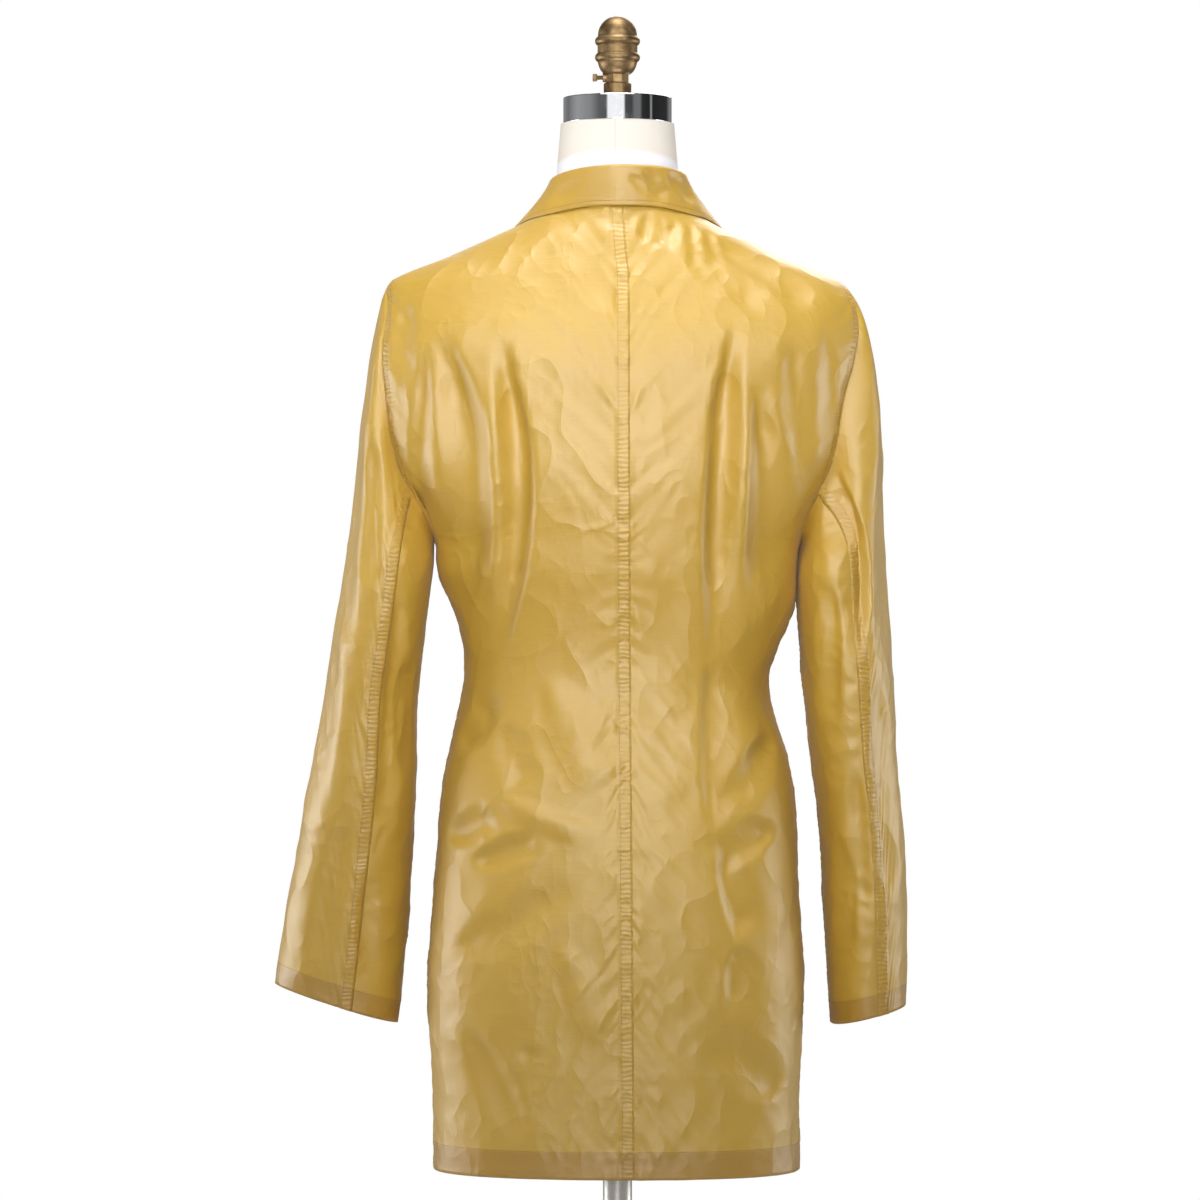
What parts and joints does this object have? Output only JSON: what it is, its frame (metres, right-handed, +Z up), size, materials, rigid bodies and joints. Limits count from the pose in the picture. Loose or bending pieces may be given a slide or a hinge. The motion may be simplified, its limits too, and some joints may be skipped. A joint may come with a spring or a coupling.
{
  "type": "raincoat on dress form",
  "caption": "Thin thigh-length nylon raincoat with turned collar and lapels, buttoned on a limbless dress form with neck cap, finial, pole and round base.",
  "frame": {"origin": "centre of the round base's underside, on the dress form's axis, where it stands on the floor", "axes": "+Z up along the pole; the coat's front faces -Y and its back +Y, so +X is the coat's left side"},
  "size_m": [0.5495, 0.34, 1.5622],
  "materials": {
    "nylon": "thin woven golden-yellow nylon with a satin sheen",
    "button": "polished, dyed to match the cloth",
    "canvas": "cream canvas, matt",
    "chrome": "mirror bright",
    "brass": "aged, satin",
    "pole": "satin",
    "base": "painted, satin"
  },
  "bodies": {
    "form": {"back_left": "nylon", "back_right": "nylon", "front_left": "nylon", "front_right": "nylon", "collar": "nylon", "upper_sleeve_left": "nylon", "upper_sleeve_right": "nylon", "under_sleeve_left": "nylon", "under_sleeve_right": "nylon", "button_1": "button", "button_2": "button", "button_3": "button", "button_4": "button", "form_torso": "canvas", "neck_ring": "chrome", "finial": "brass", "stand_pole": "pole", "stand_base": "base"},
    "thumbscrew": {"thumbscrew": "brass"}
  },
  "joints": [
    {"name": "thumbscrew_turn", "type": "hinge", "parent": "form", "child": "thumbscrew", "pos_m": [0.0174, 0, 1.5092], "axis": [1, 0, 0], "continuous": true}
  ]
}
